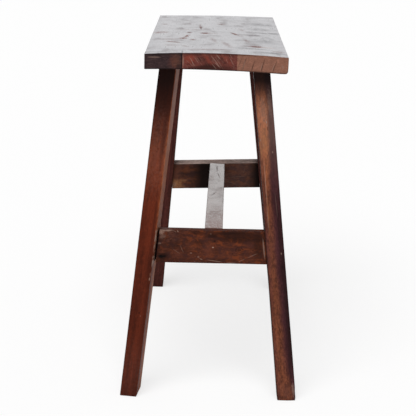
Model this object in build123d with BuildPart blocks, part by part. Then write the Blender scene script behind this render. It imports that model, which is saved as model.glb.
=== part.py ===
from build123d import *
import os
from collections import namedtuple
from math import atan, cos, radians, sin, tan

# A tall, narrow bench of dark stained hardwood: a seat of three boards glued edge to edge,
# four splayed legs tenoned up into it, and an H of three stretchers at half height.
# Millimetres. +Z is up, Y runs along the seat, and the end in view faces -Y.
# The origin is on the floor, in the middle of the rectangle that the feet reach.

# Seat: the boards are cupped a little, so the top is crowned and the underside is hollow
seat_height = 750.0
seat_length = 662.0
left_board_width = 77.0
middle_board_width = 111.0
right_board_width = 104.0
seat_crown = 5.0
left_edge_thickness = 32.0
right_edge_thickness = 35.0
underside_hollow = 3.5
seat_edge_round = 3.0
seat_end_round = 1.2
seam_groove = 0.5

# Dowels across each seam of the seat
dowel_diameter = 8.0
dowel_length = 40.0
dowel_count = 4
dowel_hole_clearance = 0.15
dowel_end_gap = 1.5
dowel_row_share = 0.62

# Legs: the inset is from the seat's side to the leg's outer face, where it meets the seat,
# and the turn is about the leg's own axis, clockwise from above
leg_depth = 50.0
leg_round = 2.0
leg_end_inset = 50.0
leg_lean = 80.0
foot_wear = 1.2
front_left_width = 37.0
front_left_inset = 31.0
front_left_splay = 71.0
front_left_turn = 8.0
front_right_top_width = 35.5
front_right_foot_width = 42.0
front_right_inset = 34.0
front_right_splay = 81.0
back_leg_width = 37.5
back_leg_inset = 33.0
back_left_splay = 50.0
back_right_splay = 92.0

# Stub tenons of the legs, which go up into the seat without showing on top
leg_tenon_shoulder = 7.5
leg_tenon_length = 22.0

# End stretchers lie in the plane of their two legs
stretcher_top = 368.0
end_stretcher_height = 72.0
end_stretcher_thickness = 29.0
end_tenon_thickness = 12.0
end_tenon_shoulder = 9.0
end_tenon_length = 24.0
front_stretcher_slope = 0.4
back_stretcher_slope = 2.6

# Centre stretcher, flush with the tops of the end stretchers
centre_stretcher_width = 39.5
centre_stretcher_height = 44.0
centre_near_offset = 5.0
centre_far_offset = 14.0
centre_tenon_shoulder = 7.5
centre_tenon_length = 16.0

stretcher_round = 1.5
fit_clearance = 0.2
shoulder_clearance = 0.3
mortise_end_gap = 1.5
overrun = 12.0

# Sizes that follow
seat_width = left_board_width + middle_board_width + right_board_width
seat_edge_height = seat_height - seat_crown
underside_height = seat_edge_height - (left_edge_thickness + right_edge_thickness) / 2
foot_y = seat_length / 2 - leg_end_inset - leg_depth / 2 + leg_lean
lean_angle = atan(leg_lean / underside_height)
left_seam = left_board_width - seat_width / 2
right_seam = left_seam + middle_board_width

Leg = namedtuple("Leg", "name side end top_width foot_width inset splay turn")
legs = [
    Leg("leg_front_left", -1, -1, front_left_width, front_left_width, front_left_inset, front_left_splay,
        front_left_turn),
    Leg("leg_front_right", 1, -1, front_right_top_width, front_right_foot_width, front_right_inset,
        front_right_splay, 0),
    Leg("leg_back_left", -1, 1, back_leg_width, back_leg_width, back_leg_inset, back_left_splay, 0),
    Leg("leg_back_right", 1, 1, back_leg_width, back_leg_width, back_leg_inset, back_right_splay, 0),
]


def leg_width(leg, z):
    """The leg's face width at a height above the floor."""
    return leg.foot_width + (leg.top_width - leg.foot_width) * z / underside_height


def leg_axis(leg, z):
    """Where the leg's middle line passes a height, from the middle of the seat."""
    top_x = seat_width / 2 - leg.inset - leg.top_width / 2
    x = leg.side * (top_x + leg.splay * (1 - z / underside_height))
    y = leg.end * (foot_y - leg_lean * z / underside_height)
    return x, y


def foot_reach(leg):
    """How far a foot's outermost points stand from the seat's middle, across it and along it."""
    turn = radians(leg.turn)
    half_width = leg.foot_width / 2 - leg_round
    half_depth = leg_depth / 2 - leg_round
    x, y = leg_axis(leg, 0)
    across = abs(x) + half_width * cos(turn) + half_depth * sin(turn) + leg_round
    along = abs(y) + half_depth * cos(turn) + half_width * sin(turn) + leg_round
    return across, along


# The feet don't reach equally far each way, so the seat's middle stands off the origin
left_reach = max(foot_reach(leg)[0] for leg in legs if leg.side < 0)
right_reach = max(foot_reach(leg)[0] for leg in legs if leg.side > 0)
front_reach = max(foot_reach(leg)[1] for leg in legs if leg.end < 0)
back_reach = max(foot_reach(leg)[1] for leg in legs if leg.end > 0)
middle_x = (left_reach - right_reach) / 2
middle_y = (front_reach - back_reach) / 2
seat_plane = Plane((middle_x, middle_y, 0), x_dir=(1, 0, 0), z_dir=(0, -1, 0))


def leg_loft(leg, low, high, shoulder=0, corner=leg_round):
    """A leg or its tenon between two heights, each side set in by a shoulder."""
    with BuildPart() as prism:
        for z in (low, high):
            x, y = leg_axis(leg, z)
            with BuildSketch(Plane((middle_x + x, middle_y + y, z))):
                with Locations(Location((0, 0, 0), (0, 0, 1), -leg.turn)):
                    RectangleRounded(leg_width(leg, z) - 2 * shoulder, leg_depth - 2 * shoulder, corner)
        loft(ruled=True)
    return prism.part


def underside_arc():
    """The hollow underside, from the left edge of the seat to the right."""
    left_z = seat_edge_height - left_edge_thickness
    right_z = seat_edge_height - right_edge_thickness
    middle_z = (left_z + right_z) / 2 + underside_hollow
    return ThreePointArc((-seat_width / 2, left_z), (0, middle_z), (seat_width / 2, right_z))


def seat_space():
    """All the room over the seat's underside, which the legs' shoulders are cut to."""
    with BuildPart() as space:
        with BuildSketch(seat_plane):
            with BuildLine():
                under = underside_arc()
                Polyline(
                    under @ 1,
                    (seat_width / 2, seat_height + overrun),
                    (-seat_width / 2, seat_height + overrun),
                    under @ 0,
                )
            make_face()
        extrude(amount=seat_length / 2, both=True)
    return space.part


def leg_tenon(leg, clearance=0, end_gap=0):
    """The stub tenon on top of a leg, or with clearances the mortise that takes it."""
    low = underside_height - overrun
    high = underside_height + leg_tenon_length + end_gap
    return leg_loft(leg, low, high, leg_tenon_shoulder - clearance, leg_round / 2 + clearance)


def end_plane(end):
    """The leaning plane through both legs of one end, with its normal facing outwards."""
    return Plane(
        (middle_x, middle_y + end * foot_y, 0),
        x_dir=(-end, 0, 0),
        z_dir=(0, end * cos(lean_angle), sin(lean_angle)),
    )


def shoulder_line(leg, beyond=0):
    """Two points of the line in the end plane where the stretcher stops against the leg."""
    turn = radians(leg.turn)
    points = []
    for v in (0, underside_height):
        z = v * cos(lean_angle)
        half = leg_width(leg, z) / 2 / cos(turn) + end_stretcher_thickness / 2 * tan(turn)
        x = leg_axis(leg, z)[0] - leg.side * (half + shoulder_clearance - beyond)
        points.append((-leg.end * x, v))
    return points


def on_line(line, height, slope):
    """Where a line through two points meets a rail at a height on the middle line."""
    (u0, v0), (u1, v1) = line
    rise = (u1 - u0) / (v1 - v0)
    u = (u0 + rise * (height - v0)) / (1 - rise * slope)
    return u, height + slope * u


def rail_outline(end, top, bottom, slope, beyond=0):
    """The four corners of an end stretcher, or of its tenons when it goes beyond the shoulders."""
    left, right = [shoulder_line(leg, beyond) for leg in legs if leg.end == end]
    return [
        on_line(left, top, slope),
        on_line(right, top, slope),
        on_line(right, bottom, slope),
        on_line(left, bottom, slope),
    ]


# Heights of an end stretcher up its leaning plane
rail_top = (stretcher_top - end_stretcher_thickness / 2 * sin(lean_angle)) / cos(lean_angle)
rail_bottom = rail_top - end_stretcher_height
centre_top_height = stretcher_top - end_stretcher_thickness * sin(lean_angle)
rail_slopes = {-1: tan(radians(front_stretcher_slope)), 1: -tan(radians(back_stretcher_slope))}


def end_tenons(end, clearance=0, end_gap=0):
    """The tongue whose two ends are the tenons, or with clearances the mortises for them."""
    outline = rail_outline(
        end,
        rail_top - end_tenon_shoulder + clearance,
        rail_bottom + end_tenon_shoulder - clearance,
        rail_slopes[end],
        end_tenon_length + end_gap,
    )
    with BuildPart() as tongue:
        with BuildSketch(end_plane(end)):
            with BuildLine():
                Polyline(*outline, close=True)
            make_face()
        extrude(amount=end_tenon_thickness / 2 + clearance, both=True)
    return tongue.part


def centre_bar(set_in, past_shoulder):
    """The centre stretcher or its tenons: set_in is taken off each side, past_shoulder is its reach."""
    half = centre_stretcher_width / 2 - set_in
    reach = foot_y
    turn = (centre_far_offset - centre_near_offset) / 2
    middle = (centre_far_offset + centre_near_offset) / 2
    # The offsets hold at the end stretchers, so the bar's own ends lie further along its line
    lean_reach = leg_axis(legs[-1], centre_top_height)[1]
    near_x = middle - turn * reach / lean_reach
    far_x = middle + turn * reach / lean_reach
    with BuildPart() as bar:
        with BuildSketch(Plane((middle_x, middle_y, centre_top_height - set_in))):
            with BuildLine():
                Polyline(
                    (near_x - half, -reach),
                    (near_x + half, -reach),
                    (far_x + half, reach),
                    (far_x - half, reach),
                    close=True,
                )
            make_face()
        extrude(amount=2 * set_in - centre_stretcher_height)
        for end in (-1, 1):
            stop = end_plane(end).offset(past_shoulder - end_stretcher_thickness / 2)
            split(bisect_by=stop, keep=Keep.BOTTOM)
    return bar.part


def dowel_places(seam):
    """Where the dowels of one seam stand, along the seat and half way through its thickness."""
    spacing = seat_length * dowel_row_share / (dowel_count - 1)
    thickness = (left_edge_thickness + right_edge_thickness) / 2
    height = seat_edge_height - thickness / 2 + (seat_crown + underside_hollow) / 2
    plane = Plane((middle_x + seam, middle_y, height), x_dir=(0, 1, 0), z_dir=(1, 0, 0))
    return plane, GridLocations(spacing, 0, dowel_count, 1)


def seat_slab():
    """The three boards as one slab, crowned on top and hollow below, with its edges eased."""
    with BuildPart() as slab:
        with BuildSketch(seat_plane) as section:
            with BuildLine():
                under = underside_arc()
                top = ThreePointArc(
                    (-seat_width / 2, seat_edge_height),
                    (0, seat_height),
                    (seat_width / 2, seat_edge_height),
                )
                Line(under @ 0, top @ 0)
                Line(under @ 1, top @ 1)
            make_face()
            fillet(section.vertices(), seat_edge_round)
        extrude(amount=seat_length / 2, both=True)
        chamfer(slab.faces().filter_by(Axis.Y).edges(), seat_end_round)
    return slab.part


def crown_height(x):
    """The height of the crowned top over a line along the seat."""
    radius = (seat_width**2 / 4 + seat_crown**2) / (2 * seat_crown)
    return seat_height - radius + (radius**2 - x**2) ** 0.5


def seat_board(left_x, right_x):
    """One board of the slab between two lines along it, with its mortises and dowel holes."""
    with BuildPart() as board:
        add(seat_slab())
        for seam, keep in ((left_x, Keep.TOP), (right_x, Keep.BOTTOM)):
            if seam in (left_seam, right_seam):
                split(bisect_by=Plane.YZ.offset(middle_x + seam), keep=keep)
                with BuildSketch(seat_plane):
                    with Locations(Location((seam, crown_height(seam), 0), (0, 0, 1), 45)):
                        Rectangle(seam_groove, seam_groove)
                extrude(amount=seat_length / 2, both=True, mode=Mode.SUBTRACT)
                plane, places = dowel_places(seam)
                with BuildSketch(plane):
                    with places:
                        Circle(dowel_diameter / 2 + dowel_hole_clearance)
                extrude(amount=dowel_length / 2 + dowel_end_gap, both=True, mode=Mode.SUBTRACT)
        for leg in legs:
            if left_x < leg_axis(leg, underside_height)[0] < right_x:
                add(leg_tenon(leg, fit_clearance, mortise_end_gap), mode=Mode.SUBTRACT)
    return board.part


def seam_dowels(seam):
    """The dowels across one seam."""
    with BuildPart() as dowels:
        plane, places = dowel_places(seam)
        with BuildSketch(plane):
            with places:
                Circle(dowel_diameter / 2)
        extrude(amount=dowel_length / 2, both=True)
    return dowels.part


def whole_leg(leg):
    """A leg with its shoulder cut to the seat, its stub tenon, its mortise and a worn foot."""
    with BuildPart() as body:
        add(leg_loft(leg, 0, underside_height + overrun))
        add(seat_space(), mode=Mode.SUBTRACT)
        chamfer(body.faces().sort_by(Axis.Z)[0].edges(), foot_wear)
        add(leg_tenon(leg))
        add(end_tenons(leg.end, fit_clearance, mortise_end_gap), mode=Mode.SUBTRACT)
    return body.part


def end_stretcher(end):
    """A stretcher between the two legs of one end, with its tenons and the centre mortise."""
    with BuildPart() as rail:
        with BuildSketch(end_plane(end)):
            with BuildLine():
                Polyline(*rail_outline(end, rail_top, rail_bottom, rail_slopes[end]), close=True)
            make_face()
        extrude(amount=end_stretcher_thickness / 2, both=True)
        fillet(rail.edges().sort_by(SortBy.LENGTH)[-4:], stretcher_round)
        add(end_tenons(end))
        mortise = centre_bar(centre_tenon_shoulder - fit_clearance, centre_tenon_length + mortise_end_gap)
        add(mortise, mode=Mode.SUBTRACT)
    return rail.part


def centre_stretcher():
    """The stretcher along the bench, shouldered against both end stretchers."""
    with BuildPart() as bar:
        add(centre_bar(0, -fit_clearance))
        fillet(bar.edges().sort_by(SortBy.LENGTH)[-4:], stretcher_round)
        add(centre_bar(centre_tenon_shoulder, centre_tenon_length))
    return bar.part


pieces = {
    "seat_board_left": seat_board(-seat_width / 2, left_seam),
    "seat_board_middle": seat_board(left_seam, right_seam),
    "seat_board_right": seat_board(right_seam, seat_width / 2),
    "seat_dowels_left": seam_dowels(left_seam),
    "seat_dowels_right": seam_dowels(right_seam),
    "end_stretcher_front": end_stretcher(-1),
    "end_stretcher_back": end_stretcher(1),
    "centre_stretcher": centre_stretcher(),
}
for leg in legs:
    pieces[leg.name] = whole_leg(leg)

os.makedirs("parts", exist_ok=True)
for name, piece in pieces.items():
    piece.label = name
    export_step(piece, f"parts/{name}.step")
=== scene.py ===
"""Dresses the bench's frame with hand-worked, dark stained hardwood, and sets a plain studio."""

from collections import namedtuple
from itertools import product
from math import atan, atan2, cos, degrees, hypot, radians, sin, tan

import bmesh
import bpy
import numpy as np
from bpy.props import FloatProperty, FloatVectorProperty, IntProperty, PointerProperty
from mathutils import Matrix, Vector


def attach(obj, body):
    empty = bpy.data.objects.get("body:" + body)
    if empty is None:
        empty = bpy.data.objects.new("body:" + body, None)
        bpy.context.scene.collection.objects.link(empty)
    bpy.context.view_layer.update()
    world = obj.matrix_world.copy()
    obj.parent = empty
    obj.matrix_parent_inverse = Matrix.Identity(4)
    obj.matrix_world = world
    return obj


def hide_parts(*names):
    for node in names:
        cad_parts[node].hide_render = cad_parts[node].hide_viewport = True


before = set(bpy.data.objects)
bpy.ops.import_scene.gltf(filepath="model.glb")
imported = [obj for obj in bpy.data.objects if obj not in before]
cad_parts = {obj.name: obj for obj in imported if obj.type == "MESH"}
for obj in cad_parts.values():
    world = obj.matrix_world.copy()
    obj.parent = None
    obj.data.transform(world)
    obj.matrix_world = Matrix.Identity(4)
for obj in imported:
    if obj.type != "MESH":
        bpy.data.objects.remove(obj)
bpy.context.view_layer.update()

bl_info = {
    "name": "Worn hardwood bench",
    "version": (1, 0, 0),
    "blender": (4, 5, 0),
    "location": "View3D > Sidebar > Bench",
    "description": "Hand-worked boards, legs and stretchers over the bench's frame",
    "category": "Object",
}

MM = 0.001

# The frame's own sizes, in millimetres
MIDDLE = np.array((-7.98, 1.036))
SEAT_HALF_WIDTH = 146.0
SEAT_HALF_LENGTH = 331.0
SEAT_TOP = 750.0
SEAT_EDGE_TOP = 745.0
SEAT_LEFT_UNDER = 713.0
SEAT_RIGHT_UNDER = 710.0
SEAT_HOLLOW = 3.5
JOINT_SLACK = 0.02
LEFT_SEAM = -69.0
RIGHT_SEAM = 42.0
LEG_TOP = 711.5
LEG_HALF_DEPTH = 25.0
FOOT_Y = 336.0
LEG_LEAN = 80.0
LEAN = atan(LEG_LEAN / LEG_TOP)
RAIL_HALF_HEIGHT = 36.0
RAIL_HALF_THICKNESS = 14.5
RAIL_MIDDLE = (368 - RAIL_HALF_THICKNESS * sin(LEAN)) / cos(LEAN) - RAIL_HALF_HEIGHT
RAIL_RISE = {-1: tan(radians(0.4)), 1: tan(radians(2.6))}
BAR_TOP = 368 - 2 * RAIL_HALF_THICKNESS * sin(LEAN)
BAR_HALF_WIDTH = 19.75
BAR_HALF_HEIGHT = 22.0
BAR_OFFSET = 9.5
BAR_RISE = 4.5 / 295

# How the meshes are laid out and closed, in millimetres where they are lengths
EDGE_WIDTH = 4.0
EDGE_SHARES = np.array((0.62, 0.36, 0.16, 0.0))
MEMBER_STEP = 3.2
FOOT_LINES = (-8.0, -1.0, 0.0, 0.6, 1.3, 2.2, 3.4)
LEG_REACH = LEG_TOP + 40
RAIL_REACH = 185
BAR_REACH = 345
OPEN_ENDED = 2000.0
SEAT_LONG_STEP = 1.6
SEAT_HALF_DEPTH = 17.0
BOARD_LAP = 0.4
SEAM_REACH = 40
BESIDE_JOINT = 8.0
SHARP_ANGLE = 38
LEAST_FACES = 1000
WELD = 2e-6

# The table of the seeded noise, and the primes that pick from it
NOISE_TABLE = 8192
NOISE_PRIMES = np.array((7919, 104729, 1299709))

Leg = namedtuple("Leg", "node side end top_x foot_x top_width foot_width turn")
FRONT_LEFT = Leg("leg_front_left", -1, -1, -96.5, -167.5, 37.0, 37.0, -8.0)
FRONT_RIGHT = Leg("leg_front_right", 1, -1, 94.25, 175.25, 35.5, 42.0, 0.0)
BACK_LEFT = Leg("leg_back_left", -1, 1, -94.25, -144.25, 37.5, 37.5, 0.0)
BACK_RIGHT = Leg("leg_back_right", 1, 1, 94.25, 186.25, 37.5, 37.5, 0.0)


def linear(colour):
    """An sRGB hex colour as linear values."""
    values = [int(colour[i : i + 2], 16) / 255 for i in (1, 3, 5)]
    return tuple(v / 12.92 if v <= 0.04045 else ((v + 0.055) / 1.055) ** 2.4 for v in values)


def colour_property(name, description, default):
    """A colour that a user can change."""
    return FloatVectorProperty(
        name=name, description=description, default=linear(default), size=3, min=0, max=1, subtype="COLOR"
    )


def length_property(name, description, default, least=0.0, most=0.02):
    """A length in metres, given here in millimetres."""
    return FloatProperty(
        name=name, description=description, default=default * MM, min=least, max=most, precision=5,
        subtype="DISTANCE", unit="LENGTH",
    )


class BenchWork(bpy.types.PropertyGroup):
    """How the timber was worked and how it has aged with use."""

    skin: length_property("Skin", "Least wood taken off every face of the frame's solids", 0.08)
    ripple: length_property("Plane ripple", "Depth of the long waves that a hand plane leaves", 0.4)
    scrape: length_property("Scrape", "Depth of the short marks of scraper and sandpaper", 0.12)
    arris: length_property("Arris round", "Radius that handling has given the long arrises", 2.1)
    chips: length_property("Chips", "Depth of the knocks along the arrises", 1.4)
    foot_round: length_property("Foot round", "Height over which the feet are rounded to the floor", 1.8)
    seam_gap: length_property("Seam gap", "Width of the crack where the left seam has opened", 0.9)
    check_depth: length_property("Check depth", "Depth of the drying checks and knots", 0.9)
    far_fall: length_property("Far fall", "Wood planed off the crown towards the seat's far end", 4.6)
    corner_fall: length_property("Corner fall", "Wood planed off the seat's far left corner", 3.2)
    leg_step: length_property("Leg mesh step", "Spacing of the mesh along legs and stretchers", 4.0, 0.001)
    seat_step: length_property("Seat mesh step", "Spacing of the mesh across the seat", 2.4, 0.001)
    seed: IntProperty(name="Seed", description="Seed of every irregularity", default=7, min=0)


class BenchFinish(bpy.types.PropertyGroup):
    """Colours of the stain, the bare wood and the studio."""

    front_left: colour_property("Front left leg", "Stain of the front left leg", "#542010")
    front_right: colour_property("Front right leg", "Stain of the front right leg", "#361B1E")
    back_legs: colour_property("Back legs", "Stain of the back legs", "#43201B")
    front_rail: colour_property("Front stretcher", "Stain of the front stretcher", "#482418")
    back_rail: colour_property("Back stretcher", "Stain of the back stretcher", "#472A21")
    # The pale greys of the centre stretcher's top and the seat's top are partly greyed stain and partly
    # painted sheen of the lacquer at low angles.
    centre_bar: colour_property("Centre stretcher", "Greyed stain of the centre stretcher", "#AEA09C")
    seat_side: colour_property("Seat sides", "Stain of the seat's sides and underside", "#4F332D")
    seat_top: colour_property("Seat top", "Greyed stain on the seat's top", "#B1B0B3")
    left_end: colour_property("Left end grain", "End grain of the left board", "#322324")
    middle_end: colour_property("Middle end grain", "End grain of the middle board", "#63342D")
    right_end: colour_property("Right end grain", "End grain of the right board", "#815848")
    # Also laid on as painted sheen on the front left leg's inner face.
    rubbed_and_sheen: colour_property("Rubbed wood", "Wood where handling has thinned the stain", "#A05C38")
    scratch: colour_property("Scratch", "Bare wood in a fresh scratch", "#94796C")
    golden: colour_property("Golden patch", "Pale sapwood that the stain didn't take to", "#906241")
    bruise: colour_property("Bruise", "Pinkish brown stain on the greyed seat", "#745048")
    # Also laid on as painted shadow: in the open joint gaps, on the shoulders inside the joints and on the
    # front right leg's left side.
    grime_and_shade: colour_property("Grime", "Dirt and old lacquer held in cracks and corners", "#0E0909")
    dowel: colour_property("Dowel", "Bare turned hardwood", "#B98F61")
    floor: colour_property("Floor", "Pale studio floor", "#FAFAFA")
    lamp: FloatProperty(name="Lamp", description="Level of the soft lamp", default=1.0, min=0, max=4)


# Noise and falloffs, worked on whole arrays of points in millimetres


def drift(points, spans, seed):
    """Smooth seeded noise from -1 to 1 that changes over the given spans."""
    table = np.random.default_rng(seed).uniform(-1, 1, NOISE_TABLE)
    place = points / np.array(spans, float)
    cell = np.floor(place).astype(np.int64)
    part = place - cell
    part = part * part * (3 - 2 * part)
    total = np.zeros(len(points))
    for corner in product((0, 1), repeat=3):
        key = (cell + corner) @ NOISE_PRIMES % NOISE_TABLE
        weight = np.where(np.array(corner, bool), part, 1 - part).prod(axis=1)
        total += weight * table[key]
    return total


def ramp(values, low, high):
    """0 at low, 1 at high and a smooth step between."""
    share = np.clip((values - low) / (high - low), 0, 1)
    return share * share * (3 - 2 * share)


def band(values, middle, half):
    """1 at the middle, falling softly to 0 about the half width away."""
    return np.exp(-(((values - middle) / half) ** 2))


def along_line(values, *pairs):
    """A value that follows the given (place, value) pairs."""
    places, heights = zip(*pairs)
    return np.interp(values, places, heights)


# Places on the timber: each piece has its own coordinates in millimetres, the last one along the grain


def seat_top_height(x):
    """The crowned top over a line along the seat, x from the seat's middle."""
    rise = SEAT_TOP - SEAT_EDGE_TOP
    radius = (SEAT_HALF_WIDTH**2 + rise**2) / (2 * rise)
    return SEAT_TOP - radius + np.sqrt(radius**2 - x**2)


def seat_under_height(x):
    """The hollow underside over a line along the seat."""
    share = x / SEAT_HALF_WIDTH
    chord = (SEAT_LEFT_UNDER + SEAT_RIGHT_UNDER) / 2 + share * (SEAT_RIGHT_UNDER - SEAT_LEFT_UNDER) / 2
    return chord + SEAT_HOLLOW * (1 - share**2)


def seat_to_world(local):
    """Local: x across from the middle, t up from the middle of the thickness, y along from the middle."""
    x, t, y = local.T
    z = (seat_top_height(x) + seat_under_height(x)) / 2 + t
    return np.stack((x + MIDDLE[0], y + MIDDLE[1], z), axis=1)


# Where the coordinates of a leg or stretcher start, the directions of their three axes, and the share by which
# it grows wider across the first of them with each millimetre along
Axes = namedtuple("Axes", "origin directions taper", defaults=(0.0,))


def leg_axes(leg):
    """Axes u across the leg's face, v through it towards the back, and s up along it."""
    turn = radians(leg.turn)
    lean = np.array((leg.top_x - leg.foot_x, -leg.end * LEG_LEAN, LEG_TOP))
    length = np.linalg.norm(lean)
    origin = np.array((MIDDLE[0] + leg.foot_x, MIDDLE[1] + leg.end * FOOT_Y, 0))
    directions = np.array(((cos(turn), sin(turn), 0), (-sin(turn), cos(turn), 0), lean / length))
    return Axes(origin, directions, (leg.top_width / leg.foot_width - 1) / length)


def rail_axes(end):
    """Axes h up an end stretcher's leaning face from its middle line, o outwards, and x along it."""
    up = np.array((0, -end * sin(LEAN), cos(LEAN)))
    out = np.array((0, end * cos(LEAN), sin(LEAN)))
    origin = np.array((MIDDLE[0], MIDDLE[1] + end * FOOT_Y, 0)) + RAIL_MIDDLE * up
    return Axes(origin, np.array((up, out, (1, 0, 0) + RAIL_RISE[end] * up)))


def bar_axes():
    """Axes x across the centre stretcher, z up from its middle, and y along it."""
    origin = np.array((MIDDLE[0] + BAR_OFFSET, MIDDLE[1], BAR_TOP - BAR_HALF_HEIGHT))
    return Axes(origin, np.array(((1, 0, 0), (0, 0, 1), (BAR_RISE, 1, 0))))


def to_world(axes, local):
    local = local.copy()
    local[:, 0] *= 1 + axes.taper * local[:, 2]
    return axes.origin + local @ axes.directions


def to_local(axes, world):
    local = (world - axes.origin) @ np.linalg.inv(axes.directions)
    local[:, 0] /= 1 + axes.taper * local[:, 2]
    return local


# Meshes


def spread(low, high, step):
    """Even lattice lines from low to high."""
    return np.linspace(low, high, max(2, round((high - low) / step) + 1))


def face_lines(half, step):
    """Lattice lines across a face, closer together over its eased edges."""
    edge = half - EDGE_WIDTH * EDGE_SHARES
    inner = half - EDGE_WIDTH
    return np.concatenate((-edge[::-1], spread(-inner, inner, step), edge))


def eased(points, half, radius):
    """Points of a box taken onto the box with rounded edges, and their outward directions."""
    core = np.clip(points, -(half - radius), half - radius)
    out = points - core
    length = np.linalg.norm(out, axis=1, keepdims=True)
    outward = np.divide(out, length, out=np.zeros_like(out), where=length > 1e-9)
    return core + outward * radius, outward


def placed(name, data):
    """A new object in the scene."""
    thing = bpy.data.objects.new(name, data)
    bpy.context.scene.collection.objects.link(thing)
    return thing


def shell(name, lines, place):
    """A closed shell of quads over a lattice of three sets of lines, its vertices put in place."""
    index = np.full([len(line) for line in lines], -1)
    rim = np.zeros(index.shape, bool)
    for axis in range(3):
        np.moveaxis(rim, axis, 0)[[0, -1]] = True
    index[rim] = np.arange(rim.sum())
    points = np.stack(np.meshgrid(*lines, indexing="ij"), -1)[rim]
    quads = []
    for axis, side in product(range(3), (0, -1)):
        sheet = np.take(index, side, axis)
        corners = (sheet[:-1, :-1], sheet[1:, :-1], sheet[1:, 1:], sheet[:-1, 1:])
        quad = np.stack([corner.ravel() for corner in corners], axis=1)
        quads.append(quad[:, ::-1] if (side == 0) != (axis == 1) else quad)
    mesh = bpy.data.meshes.new(name)
    mesh.from_pydata(place(points) * MM, [], np.concatenate(quads).tolist())
    work = bmesh.new()
    work.from_mesh(mesh)
    bmesh.ops.recalc_face_normals(work, faces=work.faces)
    work.to_mesh(mesh)
    work.free()
    return placed(name, mesh)


def fitted(worked, node):
    """Keeps the part of a worked shell inside its CAD node, so that every joint stays as it was cut."""
    solid = placed(node + "_solid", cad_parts[node].data.copy())
    work = bmesh.new()
    work.from_mesh(solid.data)
    bmesh.ops.remove_doubles(work, verts=work.verts, dist=WELD)
    work.to_mesh(solid.data)
    work.free()
    cut = worked.modifiers.new("joints", "BOOLEAN")
    cut.operation = "INTERSECT"
    cut.solver = "MANIFOLD"
    cut.object = solid
    bpy.context.view_layer.update()
    mesh = bpy.data.meshes.new_from_object(worked.evaluated_get(bpy.context.evaluated_depsgraph_get()))
    mesh.name = worked.name
    old = worked.data
    worked.modifiers.clear()
    worked.data = mesh
    bpy.data.meshes.remove(old)
    spent = solid.data
    bpy.data.objects.remove(solid)
    bpy.data.meshes.remove(spent)
    if len(mesh.polygons) < LEAST_FACES:
        raise RuntimeError(f"{node}: the worked shell and the CAD node don't meet")
    custom = mesh.attributes.get("custom_normal")
    if custom:
        mesh.attributes.remove(custom)
    mesh.materials.clear()
    mesh.shade_smooth()
    mesh.set_sharp_from_angle(angle=radians(SHARP_ANGLE))
    return worked


def vertex_array(values, name):
    """The places or directions of a mesh's vertices as rows."""
    rows = np.empty(len(values) * 3, np.float32)
    values.foreach_get(name, rows)
    return rows.reshape(-1, 3).astype(float)


def write_fields(mesh, timber, **shares):
    """Stores for each vertex its place on the timber, and the shares of wear that the finish reads."""
    field = mesh.attributes.new("timber", "FLOAT_VECTOR", "POINT")
    field.data.foreach_set("vector", timber.astype(np.float32).ravel())
    for name, values in shares.items():
        field = mesh.attributes.new(name, "FLOAT", "POINT")
        full = np.zeros(len(timber), np.float32) + np.clip(values, 0, 1).astype(np.float32)
        field.data.foreach_set("value", full)


def finish_piece(piece, node, material):
    piece.data.materials.append(material)
    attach(piece, "root")
    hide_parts(node)


def near_arris(timber, half, sides, reach):
    """1 on one long arris, falling to 0 over the reach. The sides are the signs of the two faces."""
    a = half[0] - timber[:, 0] * sides[0]
    b = half[1] - timber[:, 1] * sides[1]
    return np.exp(-((np.hypot(np.clip(a, 0, None), np.clip(b, 0, None)) / reach) ** 1.5))


def worked_depth(points, outward, work, seed, ripple=1.0):
    """Wood taken off by plane, scraper and knocks."""
    depth = work.skin / MM + np.zeros(len(points))
    depth += ripple * work.ripple / MM * (0.5 + 0.5 * drift(points, (26, 26, 130), seed))
    depth += ripple * work.scrape / MM * (0.5 + 0.5 * drift(points, (7, 7, 34), seed + 1))
    corner = 2 * np.abs(outward[:, 0] * outward[:, 1])
    knock = ramp(drift(points, (9, 9, 16), seed + 2), 0.45, 0.95)
    knock += 0.6 * ramp(drift(points, (5, 5, 6), seed + 3), 0.5, 0.95)
    return depth + corner * knock * work.chips / MM


# Marks on one face of the timber: centre and half lengths on it, turn in degrees, and strength

Mark = namedtuple("Mark", "kind at half turn strength")


def spots(kind, *rows):
    """Marks of one kind: the centre, the half lengths, the strength, and the turn where there is one."""
    marks = []
    for a, b, half_a, half_b, strength, *turn in rows:
        marks.append(Mark(kind, (a, b), (half_a, half_b), turn[0] if turn else 0, strength))
    return marks


def strokes(kind, *rows):
    """Straight marks of one kind: the start, the end, half the width and the strength."""
    marks = []
    for start_a, start_b, end_a, end_b, width, strength in rows:
        across, along = end_a - start_a, end_b - start_b
        middle = ((start_a + end_a) / 2, (start_b + end_b) / 2)
        half = (hypot(across, along) / 2, width)
        marks.append(Mark(kind, middle, half, degrees(atan2(along, across)), strength))
    return marks


def dent(a, b, marks):
    """How deep the checks and knots go, as a share, at places on the marks' face."""
    depth = np.zeros(len(a))
    for mark in marks:
        if mark.kind not in ("check", "knot"):
            continue
        turn = radians(mark.turn)
        da, db = a - mark.at[0], b - mark.at[1]
        along = (da * cos(turn) + db * sin(turn)) / mark.half[0]
        across = (db * cos(turn) - da * sin(turn)) / mark.half[1]
        depth = np.maximum(depth, np.clip(1 - np.hypot(along, across), 0, 1) * mark.strength)
    return depth


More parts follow.
